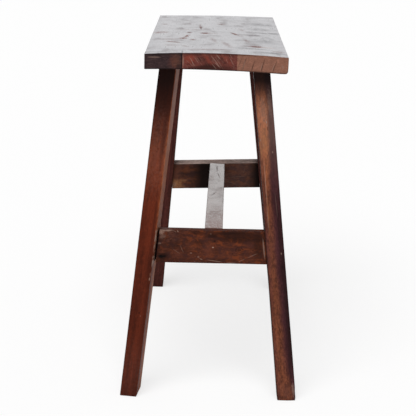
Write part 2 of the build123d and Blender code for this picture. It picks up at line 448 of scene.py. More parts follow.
# Seat top: x from the middle, y from the near end
SEAT_TOP_MARKS = [
    *spots("stain", (-124, 476, 17, 22, 1, 10)),
    *spots("check", (-123, 473, 9, 9, 0.5)),
    *spots("stain", (-126, 318, 30, 28, 0.55), (-134, 306, 12, 12, 0.45)),
    *strokes("stain", (-69, 500, -61, 456, 7, 1)),
    *strokes("check", (-39, 446, -34.5, 358, 4.5, 0.85)),
    *strokes("stain", (-42, 520, -34, 350, 6, 0.75)),
    *spots("check", (-63, 312, 6, 16, 0.85, 6)),
    *spots("stain", (-62, 308, 10, 20, 0.7)),
    *strokes("stain", (-59, 276, -74, 214, 7, 1)),
    *spots("stain", (-74, 212, 14, 18, 1), (-51, 186, 12, 15, 0.8)),
    *spots("check", (-28, 297, 12, 11, 0.95, -8)),
    *spots("stain", (-25, 299, 17, 15, 0.9, -14)),
    *strokes("stain", (-46, 309, 24, 286, 4, 0.9), (-118, 176, -70, 136, 8, 1)),
    *strokes("check", (-98, 160, -76, 142, 3.5, 0.5)),
    *spots("stain", (-97, 112, 22, 9, 0.45, -10), (10, 476, 18, 24, 1)),
    *spots("check", (12, 474, 9, 9, 0.6)),
    *spots("stain", (6, 520, 14, 30, 0.35)),
    *strokes("check", (31, 328, 47, 274, 4.5, 0.85)),
    *strokes("stain", (29, 336, 52, 262, 8, 0.95)),
    *spots("stain", (52, 268, 12, 10, 0.5)),
    *strokes("smear", (58, 278, 108, 297, 8, 1)),
    *spots("smear", (133, 346, 24, 9, 1, 6)),
    *strokes("smear", (94, 474, 144, 506, 6, 1), (70, 420, 112, 436, 6, 0.7)),
    *spots(
        "smear", (92, 500, 52, 76, 0.42), (100, 400, 54, 44, 0.36), (110, 340, 44, 16, 0.58),
        (96, 196, 66, 60, 0.3),
    ),
    *spots("ring", (111, 236, 19, 66, 0.4)),
    *spots("check", (84, 115, 15, 11, 0.95, 8)),
    *spots("stain", (84, 116, 22, 17, 0.85, 8)),
    *spots("scratch", (104, 112, 26, 10, 0.45, 8)),
    *spots("smear", (72, 84, 50, 16, 0.58)),
    *spots("stain", (128, 66, 20, 12, 0.55)),
    *spots("smear", (110, 40, 50, 14, 0.65)),
    *strokes("stain", (8, 190, 34, 60, 10, 0.45), (-14, 250, 2, 120, 9, 0.35)),
    *spots(
        "stain", (-20, 48, 70, 14, 0.4, 3), (-66, 92, 9, 22, 0.35, 24), (-100, 610, 44, 30, 0.42),
        (-40, 560, 34, 16, 0.4),
    ),
    *spots("smear", (60, 560, 50, 18, 0.45)),
    *strokes("stain", (50, 420, 66, 340, 8, 0.4), (56, 240, 74, 150, 10, 0.4)),
    *spots("smear", (20, 600, 60, 14, 0.43)),
    *spots("stain", (-60, 360, 60, 12, 0.4), (-100, 200, 40, 20, 0.3)),
]

# Seat's near end: x from the middle, z from the top
SEAT_END_MARKS = [
    *strokes("line", (-142, -7, -108, -9, 0.7, 0.2), (-138, -12, -118, -13, 0.6, 0.15)),
    *spots("warm", (-84, -19, 19, 30, 0.55, 4)),
    *spots("golden", (-82, -17, 16, 22, 0.1)),
    *spots("line", (-126, -8, 16, 2.6, 0.25, -3)),
    *spots(
        "dark", (-76, -28, 7, 8, 0.5), (-22, -31, 56, 9, 0.8, 4), (-14, -26, 22, 8, 0.6),
        (-28, -15, 22, 9, 0.4, -24), (-44, -4, 26, 4, 0.35), (8, -13, 16, 8, 0.4), (20, -31, 26, 8, 0.45),
    ),
    *spots("warm", (-54, -12, 18, 14, 0.6), (-18, -13, 22, 6, 0.45, -50), (20, -12, 24, 7, 0.3, -50)),
    *strokes(
        "line", (-13, -3, 7, -27, 0.8, 0.6), (-2, -1, 9, -14, 0.7, 0.9), (-5, -17, 10, -31, 0.8, 0.8),
        (-11, -20, 2, -34, 0.7, 0.5), (-5, -6, 13, -30, 0.6, 0.35), (25, -6, 37, -27, 0.6, 0.45),
        (18, -9, 24, -21, 0.6, 0.4), (-57, -5, -41, -31, 0.8, 0.5), (-52, -8, -45, -31, 0.7, 0.4),
        (-62, -14, -54, -22, 0.6, 0.35),
    ),
    *strokes(
        "dark", (52, -6, 43, -30, 1.7, 0.35), (61, -5, 55, -22, 1.8, 0.6), (57, -14, 52, -36, 1.8, 0.6),
    ),
    *strokes("line", (59.4, -8, 51.6, -35, 0.8, 0.5)),
    *strokes(
        "dark", (78, -8, 72, -30, 1.8, 0.45), (74.5, -18, 71, -36, 1.9, 0.6), (98, -4, 93, -24, 1.7, 0.55),
        (94.6, -14, 90, -37, 1.9, 0.65),
    ),
    *strokes("line", (93.4, -12, 88.6, -35, 0.8, 0.5)),
    *strokes("dark", (123, -6, 117, -24, 1.6, 0.5), (119, -16, 113, -36, 1.8, 0.6)),
    *strokes("line", (118, -11, 111.6, -34, 0.8, 0.5)),
    *spots("line", (134, -20, 3, 5, 0.3, 20)),
]

# Legs: u across the face, s up the leg
FRONT_LEFT_MARKS = [
    *spots("dark", (2.3, 189.5, 2.2, 2.6, 0.9)),
    *spots("scratch", (6, 183, 1.4, 1.8, 0.25), (16, 266, 1.7, 4.5, 0.6), (16.4, 276, 1.5, 6, 0.25)),
    *spots("stain", (0, 60, 40, 100, 0.09)),
    *spots("warm", (-2, 520, 14, 60, 0.3)),
    *spots("stain", (0, 540, 40, 130, 0.2)),
    *spots("dark", (9, 565, 7, 90, 0.4)),
]
FRONT_RIGHT_MARKS = [
    *spots("scratch", (1.6, 611, 1.5, 4.5, 0.9), (2.6, 604, 1.1, 4, 0.6)),
    *spots("dark", (3.4, 598, 1.2, 7, 0.7)),
    *spots(
        "scratch", (-16, 573, 1.4, 4, 0.6, 20), (-9, 562, 1.6, 5, 0.35, 10), (11, 548, 1.8, 3, 0.5),
        (13, 330, 1.6, 3, 0.5), (16, 24, 3.6, 24, 0.4),
    ),
    *spots("stain", (2, 22, 24, 26, 0.12)),
    *spots("dark", (6, 38, 12, 30, 0.2), (-12, 8, 10, 5, 0.3), (13, 300, 2, 4, 0.5)),
    *strokes("scratch", (-11, 545, -11.5, 420, 1.1, 0.5)),
    *strokes("golden", (-17.2, 576, -15, 518, 1.4, 0.95)),
    *spots("scratch", (13, 652, 6, 44, 0.2)),
    *strokes("golden", (-9.5, 480, -10, 350, 1.4, 0.5)),
    *spots("golden", (-6, 572, 11, 44, 0.35)),
    *spots("scratch", (-4, 636, 12, 34, 0.22)),
    *strokes("scratch", (-12.5, 440, -12, 372, 0.8, 0.5)),
    *strokes("dark", (-15, 560, -14.5, 400, 1.6, 0.5)),
    *strokes("scratch", (9, 470, 11, 400, 0.8, 0.25)),
    *spots("dark", (4, 432, 8, 30, 0.25), (-6, 250, 7, 40, 0.2), (-2, 140, 8, 50, 0.2)),
]
BACK_LEFT_MARKS = [
    *spots("warm", (6, 320, 4, 240, 0.35)),
]

# Stretchers: h up the face, x along it
FRONT_RAIL_MARKS = [
    *spots(
        "warm", (-6, -4, 26, 18, 0.6), (-14, 38, 16, 34, 0.3), (-18, -72, 16, 24, 0.45, 30),
        (2, -44, 16, 20, 0.25), (8, 84, 14, 24, 0.2),
    ),
    *spots(
        "scratch", (30, -110, 6, 14, 0.6), (22, -104, 8, 10, 0.2), (34.5, -92, 2.6, 16, 0.5),
        (6, -110, 3, 4, 0.35),
    ),
    *spots("dark", (-22, -102, 11, 15, 0.85)),
    *spots("check", (-22.5, -104, 4, 11, 1)),
    *spots("warm", (-13, -104, 3.5, 9, 0.6, 10)),
    *strokes(
        "line", (35.8, -73, 30.4, -69.6, 1, 0.8), (34, -79, 30, -74, 0.8, 0.4),
        (4, -66, -16, -57, 0.8, 0.25), (-4, -84, -18, -62, 0.7, 0.25),
    ),
    *spots("scratch", (-0.6, 4.7, 1.8, 2.4, 0.95)),
    *spots("dark", (12.8, 8, 3, 4, 0.8)),
    *spots("scratch", (28.7, -0.8, 1.8, 2.2, 0.7)),
    *spots(
        "dark", (25, 2, 7, 18, 0.7), (30, -28, 6, 24, 0.6), (24, 62, 18, 84, 0.75), (31, 30, 5, 60, 0.6),
        (8, -22, 8, 10, 0.25), (-28, 20, 8, 40, 0.3),
    ),
    *spots("knot", (-4.8, 61.4, 7, 10, 0.45)),
    *spots("dark", (-13.9, 46.8, 2, 2.6, 0.7), (-5.2, 90.3, 2, 2.6, 0.7), (2, 102, 40, 16, 0.6)),
    *strokes(
        "line", (-25.3, -24.5, -28.4, -15.8, 0.9, 0.6), (-27.7, -11.6, -32.7, 30, 0.8, 0.6),
        (-32.7, 30, -32.7, 57, 0.8, 0.45), (-32.7, 57, -22.9, 76, 0.9, 0.35),
        (-22.9, 76, -10.4, 103.3, 0.9, 0.32), (26.8, 109.5, -29.8, 117, 2, 0.5),
    ),
    *spots("scratch", (-22, -26, 2.4, 3, 0.3), (-14, -42, 2, 3, 0.3)),
]
BACK_RAIL_MARKS = [
    *spots("warm", (4, -104, 44, 34, 1)),
    *spots("golden", (-20, -100, 17, 30, 1), (-30, -96, 10, 34, 0.8), (-12, -78, 6, 18, 0.45)),
    *spots("scratch", (-24, -102, 8, 12, 0.35)),
    *spots("dark", (6, -66, 6, 34, 0.35)),
    *strokes("line", (-6, 36, -2, 100, 0.9, 0.25), (-14, 34, -28, 72, 0.9, 0.2), (24, 86, 2, 84, 0.8, 0.2)),
]

# Centre stretcher: x across, y along
BAR_MARKS = [
    *strokes(
        "check", (0.7, 268, 0.3, 180, 2, 1), (0.3, 196, 10.5, 118, 2, 1), (-4.9, 275, 0.3, 205, 1.5, 0.8),
        (-12, -34, 4, 14, 2.8, 1),
    ),
    *spots("stain", (0, -310, 60, 110, 1)),
    *spots("dark", (-2, -318, 40, 26, 0.3), (0, -270, 60, 120, 0.34)),
    *spots(
        "stain", (2, -220, 44, 150, 0.65), (8, 20, 14, 60, 0.35), (-12, 130, 10, 90, 0.3),
        (3, -120, 16, 50, 0.25),
    ),
]


# Materials

# How the marks are drawn: each kind's tone, how far in from its rim it reaches its full strength, whether the
# rim is crisp, whether it crumbles only gently, whether it dulls the lacquer, and where it folds into a ring
Kind = namedtuple("Kind", "tone soft_to crisp gentle dull fold", defaults=(0.5, False, False, False, None))
KINDS = {
    "line": Kind("scratch", crisp=True),
    "scratch": Kind("scratch"),
    "check": Kind("check", dull=True),
    "knot": Kind("check", 0.2, dull=True, fold=0.24),
    "ring": Kind("smear", 0.7, dull=True, fold=0.5),
    "stain": Kind("bruise", 0.85, dull=True),
    "smear": Kind("smear", 1.0, gentle=True, dull=True),
    "warm": Kind("warm", 0.9, gentle=True),
    "golden": Kind("golden", 0.8, gentle=True),
    "dark": Kind("dark", 0.7, crisp=True),
}

# How far the rims of soft marks wander, the narrowest mark whose rim does, and how deep any mark reaches
RAGGED = 7.0
LEAST_RAGGED = 2.5
MARK_REACH = 6.0


def add_node(tree, kind, inputs=None, **settings):
    """Adds a node, sets it, and fills its inputs with values or with links from other sockets."""
    node = tree.nodes.new("ShaderNode" + kind)
    for name, value in settings.items():
        setattr(node, name, value)
    for name, value in (inputs or {}).items():
        socket = node.inputs[name]
        if isinstance(value, bpy.types.NodeSocket):
            tree.links.new(value, socket)
        elif hasattr(socket.default_value, "__len__") and len(socket.default_value) == 4 and len(value) == 3:
            socket.default_value = (*value, 1)
        else:
            socket.default_value = value
    return node


def new_material(name):
    """A material, its nodes and the socket that its surface goes to."""
    material = bpy.data.materials.new(name)
    material.use_nodes = True
    tree = material.node_tree
    tree.nodes.clear()
    return material, tree, add_node(tree, "OutputMaterial").inputs["Surface"]


def tinted(colour, share):
    """A colour thinned or deepened by a share."""
    return tuple(min(1.0, share * c) for c in colour)


def shifted(colour, red, green, blue):
    """A colour whose red, green and blue are each thinned or deepened by a share of their own."""
    return (red * colour[0], green * colour[1], blue * colour[2])


def between(first, second):
    """The colour midway between two."""
    return tuple((a + b) / 2 for a, b in zip(first, second))


def tones_for(finish, stain, **changes):
    """The tones of one piece from its stain's colour, and how strongly each pattern shows."""
    stain = tuple(stain)
    tones = {
        "stain": stain, "warm": tinted(stain, 1.8), "dark": tinted(stain, 0.2), "worn": finish.rubbed_and_sheen,
        "scratch": finish.scratch, "check": finish.grime_and_shade, "grime_and_shade": finish.grime_and_shade, "bruise": finish.bruise,
        "golden": finish.golden, "mottled": 0.4, "speckled": 0.5, "rub": 0.6,
    }
    tones.update(changes)
    return {key: tuple(value) if hasattr(value, "__len__") else value for key, value in tones.items()}


def stained_hardwood(node, tones, faces, specular=0.07, gloss=0.42, coat=0.0):
    """Tropical hardwood planed by hand, under a dark spirit stain and a thin satin lacquer, long in use.

    The stain gives a deep red-brown that the grain streaks finely, and the lacquer a soft low sheen.
    Each of the faces is its marks, the axis that they are turned about and its place on that axis.
    """
    material, tree, surface = new_material("hand_planed_stained_hardwood_" + node)
    timber = add_node(tree, "Attribute", attribute_name="timber").outputs["Vector"]

    def share_of(attribute):
        return add_node(tree, "Attribute", attribute_name=attribute).outputs["Fac"]

    def noise(spans, detail, roughness=0.5, distortion=0.0, offset=(0, 0, 0), source=timber, output="Fac"):
        """Noise over the pattern's spans in millimetres."""
        scale = [1 / span for span in spans]
        place = add_node(tree, "Mapping", {"Vector": source, "Location": offset, "Scale": scale})
        inputs = {
            "Vector": place.outputs["Vector"], "Scale": 1.0, "Detail": detail, "Roughness": roughness,
            "Distortion": distortion,
        }
        return add_node(tree, "TexNoise", inputs).outputs[output]

    def blend(low, high, share):
        return add_node(tree, "Mix", {0: share, 6: low, 7: high}, data_type="RGBA").outputs[2]

    def graded(value, low, high, least=0.0, most=1.0):
        """A smooth step, from least where the value is low to most where it is high."""
        inputs = {"Value": value, "From Min": low, "From Max": high, "To Min": least, "To Max": most}
        return add_node(tree, "MapRange", inputs, interpolation_type="SMOOTHSTEP").outputs["Result"]

    def maths(operation, a, b):
        return add_node(tree, "Math", {0: a, 1: b}, operation=operation).outputs[0]

    def layered(colour, base, *layers):
        """Lays tints of a base over a colour, each where a noise passes between two levels."""
        for tint, source, low, high, strength in layers:
            colour = blend(colour, tinted(base, tint), graded(source, low, high, 0, strength))
        return colour

    stain = tones["stain"]
    # Growth bands as wide as a finger and pores run along the grain. Pores are drawn four times as coarse as
    # they are, because they'd be too fine to show.
    figure = noise((12, 12, 260), 3, 0.55, 0.4)
    pores = noise((2.6, 2.6, 60), 3, 0.6, 0.2, (3, 5, 1))
    mottle = noise((16, 16, 26), 4, 0.6, 0.0, (1, 8, 4))
    speckle = noise((2.6, 2.6, 7.0), 3, 0.7, 0.0, (2, 6, 3))
    colour = blend(tinted(stain, 0.78), tinted(stain, 1.3), graded(figure, 0.36, 0.64))
    colour = layered(
        colour, stain, (0.5, pores, 0.5, 0.72, 0.5),
        (0.55, mottle, 0.5, 0.7, tones["mottled"]), (1.7, mottle, 0.5, 0.3, tones["mottled"]),
        (2.2, speckle, 0.52, 0.68, tones["speckled"]), (0.35, speckle, 0.48, 0.32, tones["speckled"]),
    )
    if "swirl" in tones:
        # Wild grain: the stain took plum and orange side by side
        swirl = noise((12, 12, 18), 4, 0.6, 0.8, (3, 3, 6))
        plum, orange = shifted(stain, 0.6, 0.75, 1.25), shifted(stain, 2.2, 1.8, 1.1)
        colour = blend(colour, plum, graded(swirl, 0.5, 0.62, 0, tones["swirl"]))
        colour = blend(colour, orange, graded(swirl, 0.48, 0.36, 0, tones["swirl"]))
    # Paler where handling thinned the stain; the same paler tone is also laid on as painted sheen, on the
    # front left leg's inner face and the back stretcher's top.
    rubbed_and_sheen = maths("MULTIPLY", share_of("worn"), graded(speckle, 0.3, 0.6, tones["rub"], 1))
    worn = blend(tones["worn"], tinted(tones["worn"], 0.72), graded(mottle, 0.4, 0.65))
    worn = layered(worn, tones["worn"], (1.5, speckle, 0.5, 0.68, 0.6), (0.5, speckle, 0.5, 0.34, 0.5))
    colour = blend(colour, worn, rubbed_and_sheen)
    if "end" in tones:
        # Sawn end grain: blotched where it drank the stain unevenly
        blotch = noise((15, 8, 30), 4, 0.6, 0.3, (4, 1, 7))
        fleck = noise((4.5, 1.5, 30), 3, 0.6, 0.0, (6, 2, 5))
        sawn = layered(
            tones["end"], tones["end"],
            (0.5, blotch, 0.48, 0.7, tones["blotched"]), (1.6, blotch, 0.5, 0.3, 0.4),
            (1.8, fleck, 0.52, 0.7, tones["flecked"]), (0.45, fleck, 0.48, 0.3, tones["flecked"]),
        )
        # The saw's teeth left fine scratches, all leaning one way
        leaning = add_node(tree, "Mapping", {"Vector": timber, "Rotation": (0, 0, tones["saw_angle"])})
        teeth = noise((1.7, 24, 30), 3, 0.6, 0.15, (2, 7, 1), leaning.outputs["Vector"])
        sawn = blend(sawn, tones["scratch"], graded(teeth, 0.58, 0.7, 0, tones["scored"]))
        sawn = layered(sawn, tones["end"], (0.35, teeth, 0.44, 0.3, tones["scored"]))
        colour = blend(colour, sawn, share_of("end"))
    colour = blend(colour, tones["scratch"], share_of("bare"))
    rough = graded(pores, 0.3, 0.7, gloss, gloss + 0.1)
    if "top" in tones:
        # Greyed top faces, with faint patches of stain left and fine scratches across: the pale grey is partly
        # greyed stain and partly painted sheen of the lacquer at low angles
        cloud = noise((46, 46, 60), 4, 0.6, 0.3, (2, 4, 8))
        across = noise((60, 60, 4), 3, 0.6, 0.3, (5, 1, 2))
        grey = blend(tones["top"], stain, graded(cloud, 0.5, 0.72, 0, 0.42))
        grey = layered(
            grey, tones["top"], (1.14, cloud, 0.5, 0.32, 0.7), (0.5, across, 0.5, 0.75, tones["crossed"]),
            (1.25, speckle, 0.5, 0.75, 0.5), (0.6, speckle, 0.5, 0.25, 0.5),
        )
        on_top = share_of("top")
        colour = blend(colour, grey, on_top)
        patchy = maths("ADD", graded(cloud, 0.45, 0.75, -0.16, 0.06), graded(across, 0.5, 0.75, 0, 0.2))
        rough = maths("ADD", rough, maths("MULTIPLY", patchy, on_top))
    # Painted shadow and darker stain: this share takes the stain towards near black, as painted shadow under
    # the seat and beside the joining pieces, and as darker stain elsewhere.
    colour = blend(colour, tinted(stain, 0.1), share_of("shade_and_dark_stain"))

    grain = maths("MULTIPLY", pores, maths("SUBTRACT", 0.6, maths("MULTIPLY", share_of("top"), 0.5)))
    height = maths("ADD", grain, maths("MULTIPLY", speckle, 0.3))
    tremble = noise((13, 13, 13), 2, output="Color")
    ragged = add_node(tree, "VectorMath", {0: tremble, 1: [RAGGED] * 3, 2: timber}, operation="MULTIPLY_ADD")
    broken = noise((5, 5, 5), 4, 0.65, 0.0, (9, 4, 2))
    crumble = graded(broken, 0.3, 0.7, 0.25, 1.6)
    gentle = graded(broken, 0.3, 0.7, 0.55, 1.35)
    dull = 0.0
    for marks, axis, level in faces:
        plane = [i for i in range(3) if i != axis]
        for mark in marks:
            kind = KINDS[mark.kind]
            crisp = kind.crisp or min(mark.half) < LEAST_RAGGED
            offset = 0.0 if crisp else RAGGED / 2
            at, turn, half = [level + offset] * 3, [0.0] * 3, [MARK_REACH] * 3
            turn[axis] = radians(mark.turn) * (-1 if axis == 1 else 1)
            for i, place, size in zip(plane, mark.at, mark.half):
                at[i] = place + offset
                half[i] = size
            source = timber if crisp else ragged.outputs["Vector"]
            inputs = {"Vector": source, "Location": at, "Rotation": turn, "Scale": half}
            local = add_node(tree, "Mapping", inputs, vector_type="TEXTURE").outputs["Vector"]
            cover = add_node(tree, "TexGradient", {"Vector": local}, gradient_type="SPHERICAL").outputs["Fac"]
            if kind.fold:
                cover = maths("PINGPONG", cover, kind.fold)
            if not crisp:
                cover = maths("MULTIPLY", cover, gentle if kind.gentle else crumble)
            cover = graded(cover, 0.02, kind.soft_to, 0, mark.strength)
            colour = blend(colour, tones[kind.tone], cover)
            if kind.dull:
                dull = maths("MAXIMUM", dull, cover)
    # Near-black lines along arrises and seams, and painted shadow in the open joint gaps, on the shoulders
    # inside the joints and on the front right leg's left side.
    colour = blend(colour, tones["grime_and_shade"], share_of("edge"))
    rough = maths("ADD", rough, maths("MULTIPLY", dull, 0.35))
    rough = maths("ADD", rough, maths("MULTIPLY", share_of("edge"), 0.5))
    height = maths("SUBTRACT", height, maths("MULTIPLY", dull, 1.2))
    bump = add_node(tree, "Bump", {"Strength": 0.35, "Distance": 0.0003, "Height": height}).outputs["Normal"]
    inputs = {
        "Base Color": colour, "Roughness": rough, "Normal": bump, "IOR": 1.5, "Specular IOR Level": specular,
        "Coat Weight": coat, "Coat Roughness": 0.2,
    }
    tree.links.new(add_node(tree, "BsdfPrincipled", inputs).outputs[0], surface)
    return material


# Pieces


def seat_wear_and_sheen(world, facing, side, seed):
    """Places on the timber (x from the middle, z from the top, y from the near end), and the shares there."""
    x, y = world[:, 0] - MIDDLE[0], world[:, 1] - MIDDLE[1] + SEAT_HALF_LENGTH
    z = world[:, 2] - seat_top_height(x)
    low = world[:, 2] - seat_under_height(x)
    on_end = ramp(np.abs(facing[:, 1]), 0.3, 0.6)
    on_top = ramp(facing[:, 2], 0.4, 0.65) * (1 - ramp(np.abs(facing[:, 1]), 0.35, 0.55))
    front = on_end * (y < SEAT_HALF_LENGTH)
    # Dark lines are drawn along the near end's upper and lower edges, and along the open seam
    grime_and_shade = 0.6 * ramp(-facing[:, 1], 0.1, 0.3) * band(z, -1.6, 1.9) * (1 - 0.8 * ramp(x, 50, 110))
    grime_and_shade += 0.75 * front * band(low, 1.3, 1.3)
    seam = LEFT_SEAM + 0.5 * drift(world, (9, 9, 11), seed + 7)
    open_seam = (1 - ramp(y, 10, 55)) * (1 - 0.5 * on_top) if side <= 0 else 0
    grime_and_shade += np.where(x < LEFT_SEAM, 0.9, 0.0) * band(x, seam - 0.9, 1.0) * open_seam
    # The middle board's arris beside the seam has chipped to bare wood here and there
    bare = 0.8 * front * band(x, seam + 1.3, 0.9) * (x > LEFT_SEAM) * (side == 0)
    bare *= 0.25 + 0.75 * ramp(drift(world, (6, 6, 6), seed + 8), -0.45, 0.35)
    timber = np.stack((x, z, y), axis=1)
    return {
        "timber": timber, "worn": 0, "edge": grime_and_shade, "shade_and_dark_stain": 0, "end": on_end, "top": on_top, "bare": bare,
    }


def seat_board(context, name, left, right, end, side, **surface):
    """One board of the seat, worked over the whole slab's rounded shape.

    Side is -1 for the left board, 0 for the middle one and 1 for the right.
    """
    work, finish = context.scene.bench_work, context.scene.bench_finish
    step = work.seat_step / MM
    full = np.concatenate((face_lines(SEAT_HALF_WIDTH, step), (left, right)))
    across = np.unique(full[(full >= left) & (full <= right)])
    lines = [across, face_lines(SEAT_HALF_DEPTH, step), face_lines(SEAT_HALF_LENGTH, step * SEAT_LONG_STEP)]
    seed = work.seed + 40

    def place(points):
        x, y = points[:, 0], points[:, 2]
        thickness = seat_top_height(x) - seat_under_height(x)
        points = points.copy()
        points[:, 1] *= thickness / (2 * SEAT_HALF_DEPTH)
        same = np.ones(len(x))
        half = np.stack((SEAT_HALF_WIDTH * same, thickness / 2, SEAT_HALF_LENGTH * same), axis=1)
        # The near end's lower right corner is rounded off most
        low_right = ramp(x, 130, 146) * ramp(-points[:, 1], 4, 14) * ramp(-y, 250, 320)
        radius = (1.3 + 0.4 * drift(points, (60, 30, 60), seed) + 4.7 * low_right)[:, None]
        soft, outward = eased(points, half, radius)
        depth = worked_depth(soft, outward, work, seed, 0.9)
        knock = ramp(drift(points, (13, 9, 13), seed + 9), 0.35, 0.9)
        depth += 2 * np.abs(outward[:, 1] * outward[:, 2]) * knock * work.chips / MM * 0.7
        top = np.clip(outward[:, 1], 0, 1)
        depth += top * dent(x, y + SEAT_HALF_LENGTH, SEAT_TOP_MARKS) * work.check_depth / MM
        inner = np.linalg.norm(outward, axis=1) > 0
        result = soft - outward * np.where(inner, depth, 0)[:, None]
        # The top was planed thinner towards the far end, most of all at its left corner
        share = x / SEAT_HALF_WIDTH
        fall = (1 - share**2) * work.far_fall / MM + np.clip(-share, 0, 1) * work.corner_fall / MM
        fall *= ramp(y, -150, SEAT_HALF_LENGTH)
        result[:, 1] -= fall * np.clip(result[:, 1] / (thickness / 2), 0, 1)
        # The left seam has opened at the near end: the left board draws back a little from it
        opened = 1 - ramp(y + SEAT_HALF_LENGTH, 15, 75)
        gap = opened * (0.4 + work.seam_gap / MM * (0.75 + 0.5 * drift(points, (9, 8, 30), seed + 5)))
        result[:, 0] -= np.where(np.isclose(x, right) & (side < 0), gap, 0)
        return seat_to_world(result)

    piece = fitted(shell(name + "_worn", lines, place), name)
    world = vertex_array(piece.data.vertices, "co") / MM
    facing = vertex_array(piece.data.vertex_normals, "vector")
    write_fields(piece.data, **seat_wear_and_sheen(world, facing, side, seed))
    tones = tones_for(
        finish, finish.seat_side, end=end, top=finish.seat_top, dark=tinted(end, 0.2),
        smear=tinted(finish.seat_top, 0.3), check=tinted(finish.bruise, 0.45), **surface,
    )
    faces = []
    for marks, axis in ((SEAT_TOP_MARKS, 1), (SEAT_END_MARKS, 2)):
        near = [mark for mark in marks if left - SEAM_REACH < mark.at[0] < right + SEAM_REACH]
        faces.append((near, axis, 0.0))
    finish_piece(piece, name, stained_hardwood(name, tones, faces, specular=0.1))


class BENCH_OT_seat(bpy.types.Operator):
    """Makes the three boards of the seat"""

    bl_idname = "bench.seat"
    bl_label = "Seat boards"

    def execute(self, context):
        finish = context.scene.bench_finish
        # The three boards came from different planks, and each was sawn its own way
        seat_board(
            context, "seat_board_left", -SEAT_HALF_WIDTH, LEFT_SEAM + BOARD_LAP, finish.left_end, -1,
            warm=tinted(finish.middle_end, 0.75), blotched=0.8, flecked=1.0,
            saw_angle=radians(88), scored=0.25, crossed=0.3,
        )
        seat_board(
            context, "seat_board_middle", LEFT_SEAM - BOARD_LAP, RIGHT_SEAM + BOARD_LAP, finish.middle_end, 0,
            warm=shifted(finish.middle_end, 1.9, 1.15, 0.8), blotched=0.85, flecked=0.6,
            saw_angle=radians(-34), scored=0.6, crossed=0.3,
        )
        seat_board(
            context, "seat_board_right", RIGHT_SEAM - BOARD_LAP, SEAT_HALF_WIDTH, finish.right_end, 1,
            warm=tinted(finish.right_end, 1.3), blotched=0.15, flecked=0.45,
            saw_angle=radians(17), scored=0.2, crossed=0.6,
        )
        return {"FINISHED"}


# A squared length of timber: half its width and depth, the level of its marked face, and its own axes
Stock = namedtuple("Stock", "node slot half level axes")


def member(context, stock, along, seed, extra, in_joint, wear_and_painted_light, tones, marks, **surface):
    """A length of timber planed by hand, but left as it was cut where another piece bears on it.

    Extra gives the wood taken off besides, in_joint the places left as they were cut, and the third function
    the shares of thinned stain, dark lines, painted shadow and painted sheen at places on the timber.
    """
    work = context.scene.bench_work

    def place(points):
        radius = work.arris / MM * (1 + 0.35 * drift(points, (40, 40, 70), seed + 6))[:, None]
        soft, outward = eased(points * (1, 1, 0), np.array((*stock.half, OPEN_ENDED)), radius)
        soft[:, 2] = points[:, 2]
        depth = worked_depth(soft, outward, work, seed) * (1 - in_joint(soft, outward))
        depth += extra(soft, outward) + JOINT_SLACK
        return to_world(stock.axes, soft - outward * depth[:, None])

    lines = [*(face_lines(half, MEMBER_STEP) for half in stock.half), along]
    piece = fitted(shell(stock.node + "_worn", lines, place), stock.node)
    timber = to_local(stock.axes, vertex_array(piece.data.vertices, "co") / MM)
    facing = vertex_array(piece.data.vertex_normals, "vector")
    write_fields(piece.data, timber, **wear_and_painted_light(timber, facing, stock.half, seed))
    material = stained_hardwood(stock.node, tones, [(marks, 1, stock.level)], **surface)
    finish_piece(piece, stock.node, material)


def nowhere(points, outward):
    """For a member with nothing more taken off, or with no joint along it."""
    return np.zeros(len(points))


def worked_leg(context, leg, seed, tones, wear_and_painted_light, marks=(), scuff=0.0):
    """A leg, its foot rounded by the floor and scuffed at its right corner."""
    work = context.scene.bench_work
    half = (leg.foot_width / 2, LEG_HALF_DEPTH)
    along = np.concatenate((FOOT_LINES, spread(5.5, LEG_REACH, work.leg_step / MM)))

    def foot(points, outward):
        low = np.clip(1 - points[:, 2] / (work.foot_round / MM), 0, 1)
        depth = 0.8 * work.foot_round / MM * (1 - np.sqrt(1 - low**2))
        return depth + scuff * near_arris(points, half, (1, -1), 9) * (1 - ramp(points[:, 2], 4, 34))

    def rail_end(points, outward):
        beside = np.abs(points[:, 2] - RAIL_MIDDLE) < RAIL_HALF_HEIGHT + BESIDE_JOINT
        return (beside & (outward[:, 0] * leg.side < -0.9)).astype(float)

    stock = Stock(leg.node, "legs", half, -LEG_HALF_DEPTH, leg_axes(leg))
    member(context, stock, along, seed, foot, rail_end, wear_and_painted_light, tones, marks)


